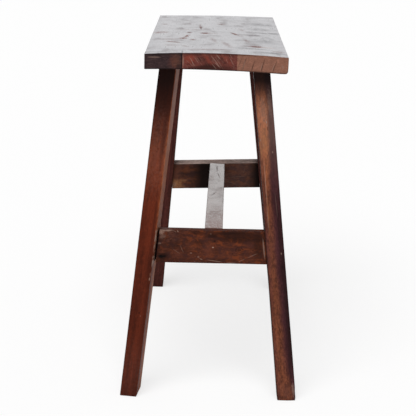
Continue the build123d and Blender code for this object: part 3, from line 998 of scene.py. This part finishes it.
def front_left_wear_shade_and_sheen(timber, facing, half, seed):
    """Paler along its right arris from handling, and paler on its inner face, partly thinned stain and partly
    painted sheen. Painted shadow darkens it under the seat and in the open joint at the stretcher, where its
    arris is chipped bare; lower down it is darker towards the foot.
    """
    u, v, s = timber.T
    uneven = 0.75 + 0.25 * drift(timber, (12, 12, 40), seed + 20)
    low = 1 - ramp(s, 300, 420)
    worn = 0.55 * near_arris(timber, half, (1, -1), 2.4) * (1 - ramp(s, 590, 665)) * uneven * (1 - 0.8 * low)
    # Painted sheen in part: the inner face is drawn paler.
    worn += 0.85 * ramp(u, 16, 18) * uneven * (1 - low * (1 - ramp(v, -16, 4))) + 0.16 * band(s, 545, 80)
    deep = v + 3.5 * drift(timber, (9, 9, 6), seed + 24)
    beside = np.abs(s - RAIL_MIDDLE)
    in_joint = ramp(u, 17, 18.2) * (1 - ramp(beside, 31, 35)) * ramp(deep, -7, -4) * (v < 21)
    edge = 0.8 * near_arris(timber, half, (-1, -1), 1.8)
    # Painted shadow under the seat, rising from s 523 to near black at the top; lower down the leg is drawn
    # darker towards the foot.
    shade_and_dark_stain = along_line(
        s, (0, 0.45), (50, 0.26), (330, 0.22), (440, 0.05), (523, 0), (565, 0.25), (608, 0.58), (635, 0.82),
        (690, 0.97),
    )
    # Painted shadow: the open gap at the stretcher's joint is drawn near black.
    edge = np.maximum(edge, in_joint)
    bare = (1 - ramp(beside, 38, 44)) * ramp(u, 16.2, 17.4) * (1 - ramp(deep, -11, -7))
    bare *= ramp(drift(timber, (7, 7, 5), seed + 21), -0.3, 0.4)
    shade_and_dark_stain = shade_and_dark_stain * (v < 20) * (1 - 0.8 * ramp(u, 16, 17.8))
    shade_and_dark_stain += 0.22 * low * ramp(u, 6, 14) * (1 - ramp(v, -14, 0))
    return {"worn": worn, "edge": edge, "shade_and_dark_stain": shade_and_dark_stain, "bare": bare}


def front_right_wear_and_shade(timber, facing, half, seed):
    """Paler over the left part of its face from handling, most of all near the top. Painted shadow darkens it
    at the top under the seat and on its left side face, and the lower right part of its face is a darker
    streak of stain deepened by painted shadow.
    """
    u, v, s = timber.T
    uneven = 1 + 0.2 * drift(timber, (9, 9, 24), seed + 20)
    bound = along_line(
        s, (0, 15), (30, 12), (62, 5), (138, 1), (228, -0.5), (359, -1), (457, -2.5), (552, 1.5), (600, 3),
        (628, 5.5), (643, 8.5), (656, 5.5), (690, 4.5),
    )
    strength = along_line(
        s, (0, 0.34), (59, 0.38), (138, 0.45), (228, 0.4), (359, 0.32), (457, 0.42), (552, 0.86), (615, 1),
        (657, 0.9), (684, 0.3),
    )
    front = 1 - ramp(v, -24, -18)
    bound += 2.2 * drift(timber, (30, 30, 26), seed + 25)
    soft = along_line(s, (0, 9), (400, 7), (560, 5), (690, 6))
    worn = strength * (1 - ramp(u, bound - soft, bound + soft)) * uneven * np.maximum(front, 0.5)
    worn *= 1 - 0.45 * ramp(-u, 12, 16) * (1 - ramp(s, 540, 600))
    edge = 0.75 * near_arris(timber, half, (-1, -1), 1.7) * (1 - ramp(s, 560, 640) * 0.3)
    # Painted shadow under the seat at the top, and a little darker at the foot.
    shade_and_dark_stain = along_line(s, (0, 0.1), (30, 0), (640, 0), (664, 0.16), (682, 0.42), (697, 0.88))
    # A darker streak of stain over the lower right part of the face, deepened by painted shadow.
    shade_and_dark_stain += (0.55 + 0.15 * band(s, 170, 90)) * ramp(u, 3, 18) * ramp(s, 40, 100) * (1 - ramp(s, 360, 500))
    # Painted shadow on the left side face, laid on with the near-black edge tone as well.
    left_side = 1 - ramp(u, -half[0] + 0.3, -half[0] + 1.2)
    shade_and_dark_stain = np.maximum(shade_and_dark_stain, 0.7 * left_side)
    edge = np.maximum(edge, (0.3 + 0.25 * drift(timber, (9, 9, 22), seed + 22)) * left_side)
    bare = 0.22 * front * band(s, 606, 80) * uneven
    return {"worn": worn, "edge": edge, "shade_and_dark_stain": shade_and_dark_stain, "bare": bare}


def back_leg_wear_and_shade(timber, facing, half, seed):
    """Grimy along its inner arrises, with painted shadow at the top under the seat, and darker at the foot."""
    s = timber[:, 2]
    worn = 0.2 * near_arris(timber, half, (1, -1), 1.8)
    edge = 0.8 * near_arris(timber, half, (1, -1), 1.6) + 0.5 * near_arris(timber, half, (-1, -1), 3)
    # Painted shadow under the seat at the top; darker at the foot.
    shade_and_dark_stain = along_line(s, (0, 0.3), (25, 0.05), (560, 0), (640, 0.5), (690, 0.85))
    return {"worn": worn, "edge": edge, "shade_and_dark_stain": shade_and_dark_stain, "bare": 0.0}


class BENCH_OT_legs(bpy.types.Operator):
    """Makes the four legs"""

    bl_idname = "bench.legs"
    bl_label = "Legs"

    def execute(self, context):
        finish = context.scene.bench_finish
        seed = context.scene.bench_work.seed
        left = tones_for(finish, finish.front_left, mottled=0.25, speckled=0.3)
        right = tones_for(finish, finish.front_right, mottled=0.3)
        back = tones_for(finish, finish.back_legs, mottled=0.25)
        worked_leg(context, FRONT_LEFT, seed, left, front_left_wear_shade_and_sheen, FRONT_LEFT_MARKS)
        worked_leg(context, FRONT_RIGHT, seed + 100, right, front_right_wear_and_shade, FRONT_RIGHT_MARKS, 3.0)
        worked_leg(context, BACK_LEFT, seed + 200, back, back_leg_wear_and_shade, BACK_LEFT_MARKS)
        worked_leg(context, BACK_RIGHT, seed + 300, back, back_leg_wear_and_shade)
        return {"FINISHED"}


def worked_rail(context, node, end, seed, tones, wear_and_painted_light, marks, extra=nowhere):
    """A stretcher between two legs."""
    step = context.scene.bench_work.leg_step / MM * 0.8
    # The lines lie closer together over the shoulder at the left end, which has chipped on the front one
    along = np.unique(np.concatenate((spread(-RAIL_REACH, RAIL_REACH, step), spread(-120, -96, 1.2))))

    def bar_end(points, outward):
        beside = np.abs(points[:, 2] - BAR_OFFSET) < BAR_HALF_WIDTH + BESIDE_JOINT
        return (beside & (outward[:, 1] < -0.9)).astype(float)

    half = (RAIL_HALF_HEIGHT, RAIL_HALF_THICKNESS)
    stock = Stock(node, "stretchers", half, -end * RAIL_HALF_THICKNESS, rail_axes(end))
    member(context, stock, along, seed, extra, bar_end, wear_and_painted_light, tones, marks, gloss=0.55)


def shoulder_shade(facing):
    """Painted shadow on the shoulders, inside the joints, where the gaps beside the legs fall dark."""
    return ramp(np.abs(facing[:, 0]), 0.5, 0.9)


def front_rail_wear_and_shade(timber, facing, half, seed):
    """Rubbed at its left end, and chipped to bare wood on the top there."""
    h, o, x = timber.T
    uneven = 0.6 + 0.4 * drift(timber, (7, 7, 12), seed + 20)
    worn = 0.32 * ramp(h, -14, 22) * (1 - ramp(x, -96, -46)) * uneven
    worn += 0.5 * band(h, 36, 1.6) * band(o, -4, 5) * (1 - ramp(x, -60, -30)) * uneven
    shade_and_dark_stain = 0.3 * (1 - ramp(x, -84, -36)) * ramp(o, 6, 12)
    near_end = 1 - ramp(x, -98, -78)
    edge = 0.7 * near_arris(timber, half, (-1, 1), 1.6) + 0.3 * ramp(h, 34, 35.2) * (1 - near_end)
    bare = 0.75 * near_arris(timber, half, (1, 1), 3.4) * near_end
    bare *= ramp(drift(timber, (6, 6, 6), seed + 21), -0.5, 0.2)
    return {"worn": worn, "edge": edge + shoulder_shade(facing), "shade_and_dark_stain": shade_and_dark_stain, "bare": bare}


def back_rail_wear_shade_and_sheen(timber, facing, half, seed):
    """Pale on top as painted sheen, with painted shadow on its inner face beside the centre stretcher and
    towards its right end.
    """
    h, o, x = timber.T
    inner = 1 - ramp(o, -13, -9)
    # Painted shadow beside the centre stretcher and by the right leg.
    shade_and_dark_stain = inner * np.maximum(ramp(x, -66, -22) * (x < 2), ramp(x, 88, 122))
    edge = 0.6 * near_arris(timber, half, (-1, -1), 1.6)
    # Painted sheen: the top is drawn pale.
    worn = ramp(h, 33.6, 34.8) * (0.85 + 0.15 * drift(timber, (9, 9, 14), seed + 20))
    worn = np.maximum(worn, 0.03 * inner * ramp(x, 10, 30))
    shade_and_dark_stain *= 1 - ramp(h, 33.6, 35)
    return {"worn": worn, "edge": edge + shoulder_shade(facing), "shade_and_dark_stain": shade_and_dark_stain, "bare": 0.0}


def bar_wear_and_sheen(timber, facing, half, seed):
    """Pale grey on top, partly greyed stain and partly painted sheen, and paler down its right side at the
    near end where the stain is thinned.
    """
    worn = 0.7 * ramp(facing[:, 0], 0.5, 0.9) * (1 - ramp(timber[:, 2], -220, -120))
    edge = 0.5 * near_arris(timber, half, (-1, 1), 1.4)
    return {"worn": worn, "edge": edge, "shade_and_dark_stain": 0, "top": ramp(facing[:, 2], 0.5, 0.9), "bare": 0}


def worked_bar(context, node, seed, tones, marks):
    """The centre stretcher."""
    work = context.scene.bench_work

    def checks(points, outward):
        deep = dent(points[:, 0], points[:, 2], marks)
        return np.clip(outward[:, 1], 0, 1) * deep * work.check_depth / MM

    half = (BAR_HALF_WIDTH, BAR_HALF_HEIGHT)
    stock = Stock(node, "stretchers", half, BAR_HALF_HEIGHT, bar_axes())
    along = spread(-BAR_REACH, BAR_REACH, work.leg_step / MM)
    lacquer = {"specular": 0.5, "gloss": 0.3, "coat": 0.5}
    member(context, stock, along, seed, checks, nowhere, bar_wear_and_sheen, tones, marks, **lacquer)


class BENCH_OT_stretchers(bpy.types.Operator):
    """Makes the two end stretchers and the centre stretcher"""

    bl_idname = "bench.stretchers"
    bl_label = "Stretchers"

    def execute(self, context):
        finish = context.scene.bench_finish
        seed = context.scene.bench_work.seed

        def chipped_shoulder(points, outward):
            across = to_local(leg_axes(FRONT_LEFT), to_world(rail_axes(-1), points))[:, 0]
            gap = across - FRONT_LEFT.foot_width / 2
            ragged = 0.45 + 0.55 * drift(points, (6, 20, 20), seed + 530)
            return np.abs(outward[:, 1]) * band(gap, 4, 2.6) * ragged * 1.2

        front = tones_for(finish, finish.front_rail, mottled=0.35, swirl=0.7, rub=0.0, worn=finish.bruise)
        # The back stretcher's pale top tone is painted sheen.
        pale = between(finish.scratch, finish.centre_bar)
        back = tones_for(finish, finish.back_rail, mottled=0.4, swirl=0.5, rub=0.9, worn=tinted(pale, 1.65))
        bar = tones_for(
            finish, finish.back_rail, top=finish.centre_bar, check=tinted(finish.bruise, 0.5), crossed=0.25
        )
        worked_rail(
            context, "end_stretcher_front", -1, seed + 500, front, front_rail_wear_and_shade, FRONT_RAIL_MARKS,
            chipped_shoulder,
        )
        worked_rail(context, "end_stretcher_back", 1, seed + 600, back, back_rail_wear_shade_and_sheen, BACK_RAIL_MARKS)
        worked_bar(context, "centre_stretcher", seed + 700, bar, BAR_MARKS)
        return {"FINISHED"}


class BENCH_OT_dowels(bpy.types.Operator):
    """Gives the hidden dowels their bare wood"""

    bl_idname = "bench.dowels"
    bl_label = "Seat dowels"

    def execute(self, context):
        finish = context.scene.bench_finish
        # Beech dowel, turned and left bare: pale, with short fibres along the pin
        material, tree, surface = new_material("bare_beech_dowel")
        place = add_node(tree, "TexCoord").outputs["Object"]
        scaled = add_node(tree, "Mapping", {"Vector": place, "Scale": (1 / 0.018, 1 / 0.0012, 1 / 0.0012)})
        inputs = {"Vector": scaled.outputs["Vector"], "Scale": 1.0, "Detail": 3.0}
        fibre = add_node(tree, "TexNoise", inputs).outputs["Fac"]
        inputs = {0: fibre, 6: tuple(finish.dowel), 7: tinted(finish.dowel, 0.6)}
        colour = add_node(tree, "Mix", inputs, data_type="RGBA").outputs[2]
        wood = add_node(tree, "BsdfPrincipled", {"Base Color": colour, "Roughness": 0.6, "IOR": 1.5})
        tree.links.new(wood.outputs[0], surface)
        for node in ("seat_dowels_left", "seat_dowels_right"):
            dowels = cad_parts[node]
            for held in dowels.material_slots:
                held.link = "OBJECT"
                held.material = material
            if not dowels.material_slots:
                dowels.data.materials.append(material)
        return {"FINISHED"}


# Studio

FOCAL_PIXELS = 1106.93
FRAME_PIXELS = 416
CAMERA_AT = (-0.0196, -2.5501, 1.0930)
CAMERA_PITCH = 0.29241
CAMERA_YAW = -0.00144
CAMERA_ROLL = 0.0293
KEY_TRAVEL = (0.30, 0.95, -1.65)
KEY_STRENGTH = 2.6
KEY_SPREAD = 50
SKY_STRENGTH = 0.3
FLOOR_WHITE = 0.68
FLOOR_RADIUS = 14
FLOOR_SEGMENTS = 96
FLOOR_DROP = 0.0004


def set_camera():
    ahead = Vector((-sin(CAMERA_YAW), cos(CAMERA_YAW), 0))
    right = Vector((cos(CAMERA_YAW), sin(CAMERA_YAW), 0))
    forward = cos(CAMERA_PITCH) * ahead - sin(CAMERA_PITCH) * Vector((0, 0, 1))
    up = sin(CAMERA_PITCH) * ahead + cos(CAMERA_PITCH) * Vector((0, 0, 1))
    rolled_right = cos(CAMERA_ROLL) * right + sin(CAMERA_ROLL) * up
    rolled_up = cos(CAMERA_ROLL) * up - sin(CAMERA_ROLL) * right
    lens_data = bpy.data.cameras.new("camera")
    lens_data.sensor_fit = "HORIZONTAL"
    lens_data.sensor_width = 36
    lens_data.lens = FOCAL_PIXELS * lens_data.sensor_width / FRAME_PIXELS
    camera = placed("camera", lens_data)
    turn = Matrix((rolled_right, rolled_up, -forward)).transposed()
    camera.matrix_world = Matrix.Translation(CAMERA_AT) @ turn.to_4x4()
    bpy.context.scene.camera = camera


class BENCH_OT_studio(bpy.types.Operator):
    """Sets the floor, the white surroundings, the lamp and the camera"""

    bl_idname = "bench.studio"
    bl_label = "Studio"

    def execute(self, context):
        scene = context.scene
        finish = scene.bench_finish
        # Painted board floor: matt and pale
        paint, tree, surface = new_material("matt_white_floor_paint")
        matt = {"Base Color": tuple(finish.floor), "Roughness": 0.9, "Specular IOR Level": 0.1}
        shader = add_node(tree, "BsdfPrincipled", matt)
        path = add_node(tree, "LightPath").outputs["Is Camera Ray"]
        share = add_node(tree, "Math", {0: path, 1: FLOOR_WHITE}, operation="MULTIPLY").outputs[0]
        plain = add_node(tree, "Emission", {"Color": (1, 1, 1), "Strength": 1.0})
        seen = add_node(tree, "MixShader", {0: share, 1: shader.outputs[0], 2: plain.outputs[0]})
        tree.links.new(seen.outputs[0], surface)
        work = bmesh.new()
        bmesh.ops.create_circle(work, cap_ends=True, segments=FLOOR_SEGMENTS, radius=FLOOR_RADIUS)
        mesh = bpy.data.meshes.new("floor")
        work.to_mesh(mesh)
        work.free()
        mesh.materials.append(paint)
        floor = placed("floor", mesh)
        floor.location.z = -FLOOR_DROP

        world = bpy.data.worlds.new("white_surroundings")
        world.use_nodes = True
        scene.world = world
        tree = world.node_tree
        tree.nodes.clear()
        path = add_node(tree, "LightPath")
        seen = path.outputs["Is Camera Ray"]
        for ray in ("Is Glossy Ray", "Is Transmission Ray"):
            seen = add_node(tree, "Math", {0: seen, 1: path.outputs[ray]}, operation="MAXIMUM").outputs[0]
        soft = add_node(tree, "Background", {"Color": (1, 1, 1), "Strength": SKY_STRENGTH})
        white = add_node(tree, "Background", {"Color": (1, 1, 1), "Strength": 1.0})
        mixed = add_node(tree, "MixShader", {0: seen, 1: soft.outputs[0], 2: white.outputs[0]})
        tree.links.new(mixed.outputs[0], add_node(tree, "OutputWorld").inputs["Surface"])

        lamp = bpy.data.lights.new("key", "SUN")
        lamp.energy = KEY_STRENGTH * finish.lamp
        lamp.angle = radians(KEY_SPREAD)
        placed("key", lamp).matrix_world = Vector(KEY_TRAVEL).to_track_quat("-Z", "Y").to_matrix().to_4x4()
        set_camera()
        scene.view_settings.view_transform = "Standard"
        return {"FINISHED"}


class BENCH_PT_panel(bpy.types.Panel):
    """Lists the bench's pieces and their sizes and colours"""

    bl_idname = "BENCH_PT_panel"
    bl_label = "Bench"
    bl_space_type = "VIEW_3D"
    bl_region_type = "UI"
    bl_category = "Bench"

    def draw(self, context):
        for group in (context.scene.bench_work, context.scene.bench_finish):
            column = self.layout.column(align=True)
            for name in group.__annotations__:
                column.prop(group, name)
        for operator in OPERATORS:
            self.layout.operator(operator.bl_idname)


OPERATORS = (BENCH_OT_seat, BENCH_OT_legs, BENCH_OT_stretchers, BENCH_OT_dowels, BENCH_OT_studio)
CLASSES = (BenchWork, BenchFinish, *OPERATORS, BENCH_PT_panel)


def register():
    for entry in CLASSES:
        bpy.utils.register_class(entry)
    bpy.types.Scene.bench_work = PointerProperty(type=BenchWork)
    bpy.types.Scene.bench_finish = PointerProperty(type=BenchFinish)


def unregister():
    del bpy.types.Scene.bench_finish
    del bpy.types.Scene.bench_work
    for entry in reversed(CLASSES):
        bpy.utils.unregister_class(entry)


def main():
    register()
    bpy.ops.bench.seat()
    bpy.ops.bench.legs()
    bpy.ops.bench.stretchers()
    bpy.ops.bench.dowels()
    bpy.ops.bench.studio()


if __name__ == "__main__":
    main()
